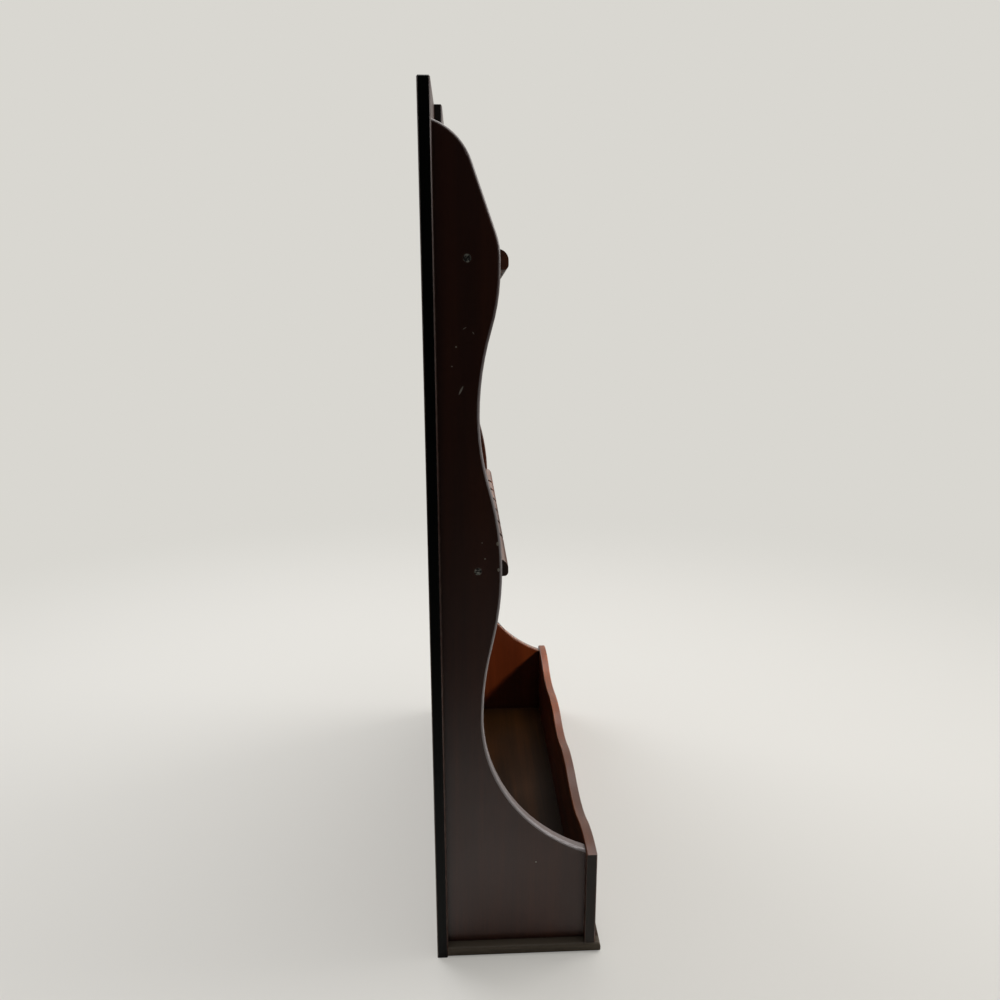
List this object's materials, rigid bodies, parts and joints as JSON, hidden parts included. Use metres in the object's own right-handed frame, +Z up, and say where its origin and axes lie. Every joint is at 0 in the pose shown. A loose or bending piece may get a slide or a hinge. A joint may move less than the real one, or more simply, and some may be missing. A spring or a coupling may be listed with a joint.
{
  "type": "spoon rack",
  "caption": "Wooden spoon rack that hangs or stands: flat back, serpentine sides, slotted rails for spoons and an open box with a scalloped front.",
  "frame": {"origin": "middle of the rack's outer box at floor level", "axes": "+X out of the wall to the front, +Y along the width towards the right side as seen from the front, +Z up"},
  "size_m": [0.1248, 0.381, 0.61],
  "materials": {
    "stained_pine": "dark brown stain under satin varnish, edges worn paler",
    "nail_steel": "plain bright wire, heads punched below the surface"
  },
  "bodies": {
    "root": {"back_board": "stained_pine", "bottom_board": "stained_pine", "left_side": "stained_pine", "right_side": "stained_pine", "upper_spoon_rail": "stained_pine", "lower_spoon_rail": "stained_pine", "box_front": "stained_pine", "top_strip": "stained_pine", "side_nails": "nail_steel", "back_nails": "nail_steel", "bottom_nails": "nail_steel", "box_front_nails": "nail_steel", "top_strip_brads": "nail_steel"}
  },
  "joints": []
}
